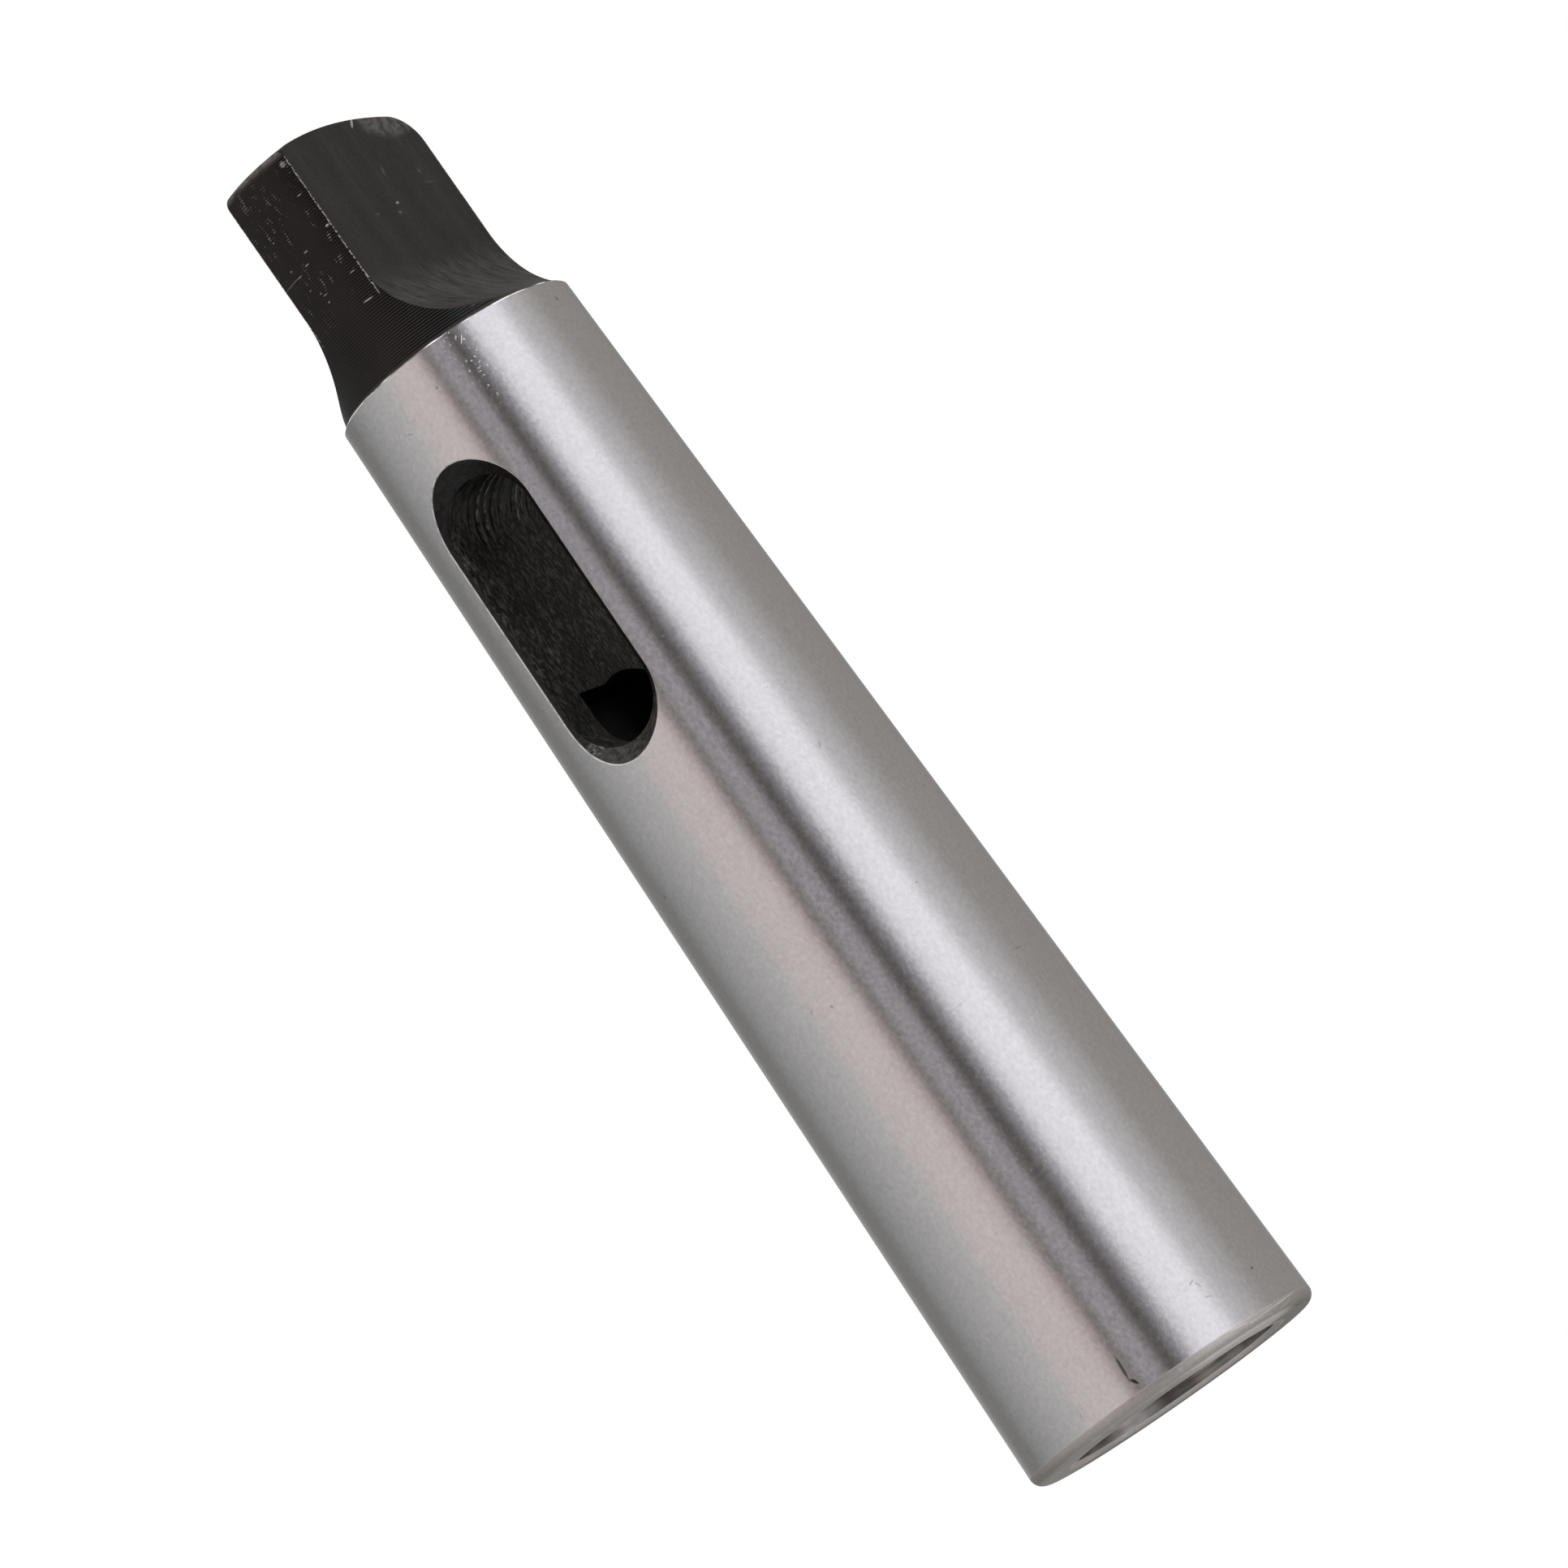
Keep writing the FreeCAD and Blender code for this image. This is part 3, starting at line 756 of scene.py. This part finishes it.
def turned_black(graph, sizes, finish):
    """The neck, the tang's round sides and its tip: turned rings whose crests are chipped bright. The +X
    side is painted darker with its rings painted stronger, and the tip's edge has a painted highlight.
    """
    wander = graph.noise(0.2, 0.5, 2, 0.5, 7)
    feed = 2 * math.pi / millimetres(sizes.ring_pitch)
    crest = graph.math("SINE", graph.z * feed + wander * 2) * 0.5 + 0.5
    low = millimetres(sizes.cone_length)
    strength = graph.rise(graph.z, low + 11, low + 3, 0.35, 1)
    grain = graph.noise(5.5, 5.5, 2, 0.6, 11)
    blotches = graph.noise(0.6, 0.35, 2, 0.55, 3)
    cluster = graph.rise(graph.noise(0.35, 0.2, 2, 0.5, 19), -0.1, 0.12)
    cluster = cluster * graph.rise(abs(graph.turn), 0.6, 0.35)
    trains = graph.rise(graph.noise(2.8, 0.9, 2, 0.6, 2), 0.08, 0.16)
    rubbed = trains * cluster * graph.rise(crest, 0.5, 0.9) * graph.rise(graph.z, low + 5, low + 9) * 0.3
    # The last two tang chips are painted highlights on the neck
    chips = graph.marks_round(TANG_CHIPS_AND_GLINTS, lambda height: millimetres(sizes.tang_diameter / 2))
    chips = chips * graph.rise(crest + grain * 2, 0.1, 0.7, 0.4, 1)
    tip = low + millimetres(sizes.tang_length)
    # Near the tip's edge: bare spots, and a painted highlight in the shade
    tip_wear_and_highlight = graph.rise(graph.noise(1.1, 1.1, 3, 0.6, 59), -0.2, 0.15)
    tip_wear_and_highlight = tip_wear_and_highlight * graph.rise(graph.z, tip - 1.8, tip - 0.9) * graph.rise(graph.radius, 6.8, 8.2)
    bare = graph.most(worn_corners(graph, sizes), rubbed, chips, tip_wear_and_highlight * 0.14)
    # Painted shade: towards +X the black is darker and its rings are painted lighter and darker
    painted_side_shading = graph.rise(graph.turn, 0.1, 0.5)
    ridges = (crest - 0.5) * strength * (painted_side_shading * 6 + 2)
    shade = 1.3 + grain * 1.2 + blotches + ridges + tip_wear_and_highlight * 9 - painted_side_shading * 0.9
    warm = graph.rise(abs(graph.turn - 0.05) * 1.4, 1, 0.3)
    black = graph.blend(warm, (*finish.turned_colour, 1), (*finish.turned_warm_colour, 1))
    metal = blackened(graph, finish, graph.tinted(black, graph.most(shade, 0.1)), bare,
                      finish.oxide_roughness + blotches * 0.1, crest * strength * 1.5 + grain * 0.3)
    graph.grained(metal, 0.9)
    return metal


def milled_flat(graph, sizes, finish):
    """The tang's flats: milling lines that sweep round in the run-out, specks and a knocked corner. The
    run-out is painted lighter, a painted reflection, and its foot at the shoulder is darker, painted shade.
    """
    drop = graph.most(millimetres(sizes.cone_length + sizes.runout_radius) - graph.z, 0)
    runout = graph.rise(drop, 0, 3)
    swept = graph.y - drop * drop * 0.1
    lines = graph.cloud(graph.vector(swept * 3, graph.x * 0.5, graph.z * 0.06), 3, 0.65)
    broad = graph.cloud(graph.vector(swept * 0.55, graph.x * 0.5, graph.z * 0.02), 2, 0.5)
    short = graph.cloud(graph.vector(swept * 2.2, graph.x * 0.5, graph.z * 0.7), 3, 0.6)
    grain = graph.noise(5.5, 5.5, 2, 0.6, 11)
    blotches = graph.noise(0.6, 0.35, 2, 0.55, 3)
    tip = millimetres(sizes.cone_length + sizes.tang_length)
    knocked = graph.rise(graph.away((graph.y - 6) / 4.4, (graph.z - tip + 0.6) / 2.1), 1, 0.55)
    knocked = knocked * graph.rise(graph.noise(1.6, 1.6, 4, 0.65, 61), -0.16, 0.1, 0.2, 1.2)
    chips = graph.marks(graph.y * graph.math("SIGN", graph.x), FLAT_CHIPS)
    bare = graph.most(worn_corners(graph, sizes), chips, knocked * 0.11)
    shoulder = millimetres(sizes.cone_length)
    # Painted shade at the foot of the flat, just above the shoulder
    foot = graph.rise(graph.z, shoulder + 1.7, shoulder + 0.9)
    shade = 2.7 + lines * 1.6 + broad * 2.2 + grain * 3 + blotches * 1.6
    # The run-out is painted lighter, a painted reflection
    shade = shade + short * runout * 14 + runout * 1.3
    shade = graph.most(shade, 1) * (1 - foot * 0.7)
    return blackened(graph, finish, graph.tinted(finish.oxide_colour, shade), bare,
                     finish.oxide_roughness + blotches * 0.15,
                     lines * 0.6 + short * runout * 1.5 + grain * 0.8)


def milled_slot(graph, sizes, finish):
    """The slot's walls: short cutter marks along the walls, and scallops round the end near the tang."""
    marks = graph.cloud(graph.vector(graph.x * 1.2, graph.y * 3.6, graph.z * 1.9), 3, 0.6)
    broad = graph.cloud(graph.vector(graph.x * 0.3, graph.y * 0.4, graph.z * 0.3), 2, 0.5)
    scallops = graph.marks(graph.y + marks * 0.15, SLOT_SCALLOPS)
    deep = graph.rise(abs(graph.y) * 0.6, 4, 0)
    low = millimetres(sizes.socket_depth)
    shadow = graph.rise(graph.y + graph.z - low, 2.8, 1.6) * graph.rise(graph.z, low + 3, low + 1.5)
    end = millimetres(sizes.socket_depth - sizes.slot_lead + sizes.slot_length)
    marks = marks * graph.rise(graph.z, end - 5, end - 2.5, 1, 0.5)
    dents = graph.most(1 + marks * 23, 0.05) * graph.most(1.05 - scallops * 1.6, 0.05)
    shade = (1.8 + deep * 2.2 + broad * 5) * (1 - shadow * 0.4) * dents
    return graph.metal(graph.tinted(finish.oxide_colour, graph.most(shade, 0.1)),
                       finish.oxide_roughness + marks * 0.1,
                       marks * 4.5 - scallops * 3, 0.03, Specular_IOR_Level=finish.oxide_shine * 0.6)


def slot_bevel(graph, sizes, finish):
    """The slot's countersunk mouths: smoother, painted lighter at the low end as a painted reflection, with
    a worn edge painted as a bright highlight line.
    """
    crown = millimetres(cone_radius(sizes)) - graph.z / (2 * sizes.outside_taper)
    worn = graph.rise(graph.noise(1.5, 1.5, 2, 0.6, 67), -0.2, 0.1, 0.55, 1)
    # A worn edge painted as a bright line: a painted highlight along the slot's mouth
    edge = graph.rise(crown - graph.radius, 0.13, 0.05) * worn
    low_end = millimetres(SlotPlace(sizes).low)
    # Painted reflection: the low end is lighter
    light = graph.rise(graph.z, low_end - 0.5, low_end - 3)
    chatter = graph.noise(2.2, 2.2, 3, 0.65, 37)
    burr = graph.rise(graph.away((graph.x + 2.6) / 1.3, (graph.z - low_end + 2.4) / 0.8), 1, 0.4)
    burr = burr * graph.rise(graph.noise(3, 3, 2, 0.6, 41), 0, 0.12)
    shade = (1.1 + light * 3.2 + burr * 14) * graph.most(1 + chatter * 4, 0.2)
    colour = graph.blend(edge, graph.tinted(finish.oxide_colour, shade), (*finish.bare_colour, 1))
    return graph.metal(colour, finish.oxide_roughness - 0.06 + chatter * 0.1,
                       chatter * 1.5, 0.01, Specular_IOR_Level=finish.oxide_shine * 0.7)


def sleeve_materials(sizes, finish):
    """One material for each of the sleeve's finishes, in the order of its material slots."""
    materials = []
    for look in (ground_taper, turned_rim, reamed_socket, drilled_bottom,
                 turned_black, milled_flat, milled_slot, slot_bevel):
        materials.append(bpy.data.materials.new(look.__name__))
        graph = Graph(materials[-1]).locate()
        graph.finish(look(graph, sizes, finish))
    return materials


def ring_mesh(name, rings):
    """A surface through rings that are given as radius and height."""
    mesh = bmesh.new()
    angles = [2 * math.pi * step / STAGE_STEPS for step in range(STAGE_STEPS)]
    loops = []
    for radius, height in rings:
        loops.append([mesh.verts.new((radius * math.cos(a), radius * math.sin(a), height)) for a in angles])
    for first, second in zip(loops, loops[1:]):
        for step in range(STAGE_STEPS):
            after = (step + 1) % STAGE_STEPS
            mesh.faces.new((first[step], first[after], second[after], second[step]))
    return new_object(name, mesh)


def tent_material(studio):
    """Soft panels side by side round the tent."""
    material = bpy.data.materials.new("tent_panels")
    graph = Graph(material).locate()
    first = TENT_PANELS[0][0]
    share = graph.math("FLOORED_MODULO", graph.degrees - first, 360) / 360
    ramp = graph.add("ValToRGB", {"Fac": share})
    edges = []
    for start, end, low, high, tint in TENT_PANELS:
        for degrees, level in ((start, low), (end, high)):
            edges.append(((degrees - first) / 360, [level * part for part in tint]))
    edges.append((1, edges[0][1]))
    stops = ramp.color_ramp.elements
    for position, _ in edges[1:-1]:
        stops.new(position)
    for stop, (_, colour) in zip(stops, edges):
        stop.color = (*colour, 1)
    bottom = millimetres(TENT_BOTTOM)
    below = graph.rise(graph.z, bottom + 300, bottom + 50)
    colour = graph.blend(below, ramp.outputs["Color"], (*[studio.below_level] * 3, 1))
    graph.finish(graph.add("Emission", {"Color": colour, "Strength": studio.tent_level}))
    return material


def floor_material(studio):
    """Matt white that fades out at its rim and can be looked through from below."""
    material = bpy.data.materials.new("white_floor")
    graph = Graph(material).locate()
    rim = millimetres(studio.floor_radius)
    fade = graph.rise(graph.radius, rim * 0.45, rim * 0.98)
    below = Signal(graph, graph.add("NewGeometry").outputs["Backfacing"])
    colour = graph.tinted(studio.floor_colour, 1 + graph.noise(0.02, 0.02) * 0.02)
    matt = graph.add("BsdfDiffuse", {"Color": colour}).outputs[0]
    clear = graph.add("BsdfTransparent").outputs[0]
    graph.finish(graph.add("MixShader", {0: graph.most(fade, below), 1: matt, 2: clear}))
    return material


def make_stage(studio):
    """Floor, light tent, white surroundings and the softbox overhead."""
    floor = ring_mesh("floor", [(studio.floor_radius, -FLOOR_DROP), (FLOOR_HOLE, -FLOOR_DROP)])
    floor.data.materials.append(floor_material(studio))
    floor.visible_glossy = False
    reach = studio.tent_radius
    tent = ring_mesh("light_tent", [(TENT_HOLE, TENT_BOTTOM), (reach, TENT_BOTTOM), (reach, TENT_TOP)])
    tent.data.materials.append(tent_material(studio))
    tent.visible_camera = False
    tent.visible_shadow = False

    world = bpy.data.worlds.new("white_surroundings")
    graph = Graph(world)
    white = graph.add("Background", {"Color": (1, 1, 1, 1), "Strength": 1}).outputs[0]
    graph.add("OutputWorld", {"Surface": white})
    bpy.context.scene.world = world

    lamp = bpy.data.lights.new("overhead_softbox", "AREA")
    lamp.shape = "SQUARE"
    lamp.size = studio.lamp_size
    lamp.energy = studio.lamp_power
    holder = in_scene("overhead_softbox", lamp)
    holder.location = studio.lamp_place
    holder.rotation_mode = "QUATERNION"
    holder.rotation_quaternion = (-holder.location).to_track_quat("-Z", "Y")
    holder.visible_camera = False
    holder.visible_glossy = False
    bpy.context.scene.view_settings.view_transform = "Standard"


def make_camera(studio):
    """A long lens a little below the big end, rolled so that the sleeve leans to the left."""
    camera = bpy.data.cameras.new("camera")
    camera.lens = studio.lens
    camera.sensor_width = 36.0
    camera.clip_start = 0.05
    camera.clip_end = 10.0
    holder = in_scene("camera", camera)
    turn, lift = studio.view_turn, studio.view_lift
    back = Vector((math.sin(turn) * math.cos(lift), -math.cos(turn) * math.cos(lift), math.sin(lift)))
    holder.location = Vector(studio.view_aim) + back * studio.view_distance
    holder.rotation_mode = "QUATERNION"
    roll = Quaternion((0, 0, 1), studio.view_roll)
    holder.rotation_quaternion = (-back).to_track_quat("-Z", "Y") @ roll
    bpy.context.scene.camera = holder


class SleeveSizes(bpy.types.PropertyGroup):
    """Sizes of the sleeve."""
    gauge_diameter: length("Gauge diameter", "Outside taper's diameter at its gauge plane", 23.825)
    gauge_offset: length("Gauge offset", "Gauge plane above the big end's face", 18)
    outside_taper: number("Outside taper", "Length for a change of 1 in diameter", 19.922, 1.0, precision=3)
    cone_length: length("Cone length", "Big end's face to the end of the ground cone", 93.4)
    rim_radius: length("Rim radius", "Rounding of the big end's outer edge", 0.95)
    shoulder_break: length("Shoulder break", "Height of the bevel where the ground cone ends", 0.35)
    tang_diameter: length("Tang diameter", "Turned diameter of the tang", 18.45)
    tang_length: length("Tang length", "End of the ground cone to the tip of the tang", 19.9)
    tang_thickness: length("Tang thickness", "Across the tang's flats", 6.75)
    neck_height: length("Neck height", "End of the ground cone to the top of the hollow neck", 4)
    neck_radius: length("Neck radius", "Radius of the hollow neck", 16.6)
    runout_radius: length("Run-out radius", "Radius of the cutter that milled the flats", 7.8)
    tip_rise: length("Tip rise", "Height of the tang's domed end", 1.1)
    tip_corner: length("Tip corner", "Rounding of the tip's corner that kept its shape", 1.2)
    tip_worn_corner: length("Worn tip corner", "Rounding of the tip's corner that is knocked round", 2.8)
    socket_diameter: length("Socket diameter", "Socket's diameter at the big end's face", 17.78)
    socket_taper: number("Socket taper", "Length for a change of 1 in diameter", 20.02, 1.0, precision=3)
    socket_depth: length("Socket depth", "Big end's face to the flat bottom of the socket", 67)
    mouth_bevel: length("Mouth bevel", "Bevel of the socket's mouth", 0.28)
    relief_diameter: length("Relief diameter", "Plain bore behind the socket's taper", 14.9)
    pilot_diameter: length("Pilot diameter", "Drilled centre of the socket's bottom", 9.4)
    pilot_half_angle: tilt("Drill point", "Half the drill's point angle", 59)
    slot_width: length("Slot width", "Drift slot, between its side walls", 7.5)
    slot_length: length("Slot length", "Drift slot, over its round ends", 22.9)
    slot_lead: length("Slot lead", "Drift slot's start below the socket's bottom", 5.9)
    bevel_depth: length("Bevel depth", "Depth of the slot's countersunk mouth", 1.55)
    bevel_angle: tilt("Bevel angle", "Slope of the slot's countersunk mouth", 45)
    bevel_shift: length("Bevel shift", "How far the countersink stands off the slot's middle", 0.4)
    bevel_lap: length("Bevel lap", "How far the countersink reaches below its edge with the slot", 0.5)
    ring_pitch: length("Turned rings", "Feed of the tool that turned the tang", 0.22)


class SleeveFinish(bpy.types.PropertyGroup):
    """Colours and grain of the sleeve's steel."""
    steel_colour: paint("Steel colour", "Colour of the ground steel", (0.57, 0.56, 0.56))
    rim_colour: paint("Rim colour", "Colour of the turned and reamed steel", (0.54, 0.515, 0.49))
    steel_roughness: factor("Steel roughness", "Roughness of the ground steel", 0.28)
    steel_grain: factor("Grinding grain", "How much more light spreads along the axis than round it", 1.0)
    oxide_colour: paint("Black oxide", "Colour of the milled black steel", (0.0085, 0.008, 0.0072))
    turned_colour: paint("Turned black", "Colour of the turned black steel", (0.0075, 0.008, 0.008))
    turned_warm_colour: paint("Warm black", "Turned black towards -Y", (0.0095, 0.0072, 0.0062))
    oxide_roughness: factor("Oxide roughness", "Roughness of the blackened steel", 0.42)
    oxide_shine: factor("Oxide shine", "How strongly the black surfaces mirror light", 0.3)
    bare_colour: paint("Bare steel", "Steel that shows through the worn black", (0.62, 0.58, 0.55))


class SleeveStudio(bpy.types.PropertyGroup):
    """Floor, light and camera."""
    floor_radius: number("Floor radius", "Reach of the floor from the axis", 0.5, 0.1, unit="LENGTH")
    floor_colour: paint("Floor colour", "Colour of the floor", (0.9, 0.9, 0.9))
    tent_radius: number("Tent radius", "Distance of the light tent from the axis", 1.0, 0.7, unit="LENGTH")
    tent_level: number("Tent level", "Brightness of the light tent's panels", 1.0)
    below_level: number("Level below", "Brightness of the light tent's bottom", 0.6)
    lamp_power: number("Lamp power", "Power of the softbox overhead", 4.0, unit="POWER")
    lamp_size: number("Lamp size", "Sides of the softbox overhead", 0.5, 0.01, unit="LENGTH")
    lamp_place: FloatVectorProperty(
        name="Lamp place", description="Where the softbox overhead hangs",
        default=(0.35, -0.25, 0.95), subtype="TRANSLATION", unit="LENGTH")
    lens: number("Lens", "Focal length in millimetres on a 36 mm frame", 184.6, 1.0)
    view_turn: tilt("View turn", "Where the camera stands, round the axis from -Y", 32.61)
    view_lift: tilt("View lift", "How far the camera stands above its aim", -8.609)
    view_roll: tilt("View roll", "Turn of the camera about its own line of sight", -34.915)
    view_distance: number("View distance", "From the camera to its aim", 0.59184, 0.1, unit="LENGTH")
    view_aim: FloatVectorProperty(
        name="View aim", description="Point in the middle of the picture",
        default=(0.001636, 0.001047, 0.053284), subtype="TRANSLATION", unit="LENGTH", precision=5)


class SLEEVE_OT_build(bpy.types.Operator):
    """Builds the sleeve and gives each of its surfaces its finish"""
    bl_idname = "sleeve.build"
    bl_label = "Build Sleeve"

    def execute(self, context):
        build_sleeve(context.scene.sleeve_sizes, context.scene.sleeve_finish)
        return {"FINISHED"}


class SLEEVE_OT_stage(bpy.types.Operator):
    """Sets up the floor, the light tent and the softbox"""
    bl_idname = "sleeve.stage"
    bl_label = "Set Up Studio"

    def execute(self, context):
        make_stage(context.scene.sleeve_studio)
        return {"FINISHED"}


class SLEEVE_OT_camera(bpy.types.Operator):
    """Places the camera"""
    bl_idname = "sleeve.camera"
    bl_label = "Place Camera"

    def execute(self, context):
        make_camera(context.scene.sleeve_studio)
        return {"FINISHED"}


class SLEEVE_PT_panel(bpy.types.Panel):
    """Lists the steps in the order in which they run"""
    bl_idname = "SLEEVE_PT_panel"
    bl_label = "Taper Sleeve"
    bl_space_type = "VIEW_3D"
    bl_region_type = "UI"
    bl_category = "Taper Sleeve"

    def draw(self, context):
        scene = context.scene
        for groups, step in (((scene.sleeve_sizes, scene.sleeve_finish), SLEEVE_OT_build),
                             ((scene.sleeve_studio,), SLEEVE_OT_stage), ((), SLEEVE_OT_camera)):
            box = self.layout.box()
            for group in groups:
                for name in group.__annotations__:
                    box.prop(group, name)
            box.operator(step.bl_idname)


GROUPS = {"sleeve_sizes": SleeveSizes, "sleeve_finish": SleeveFinish, "sleeve_studio": SleeveStudio}
CLASSES = (*GROUPS.values(), SLEEVE_OT_build, SLEEVE_OT_stage, SLEEVE_OT_camera, SLEEVE_PT_panel)


def register():
    for item in CLASSES:
        bpy.utils.register_class(item)
    for name, group in GROUPS.items():
        setattr(bpy.types.Scene, name, PointerProperty(type=group))


def unregister():
    for name in GROUPS:
        delattr(bpy.types.Scene, name)
    for item in reversed(CLASSES):
        bpy.utils.unregister_class(item)


def main():
    """Runs every step in order."""
    register()
    bpy.ops.sleeve.build()
    bpy.ops.sleeve.stage()
    bpy.ops.sleeve.camera()


if __name__ == "__main__":
    main()
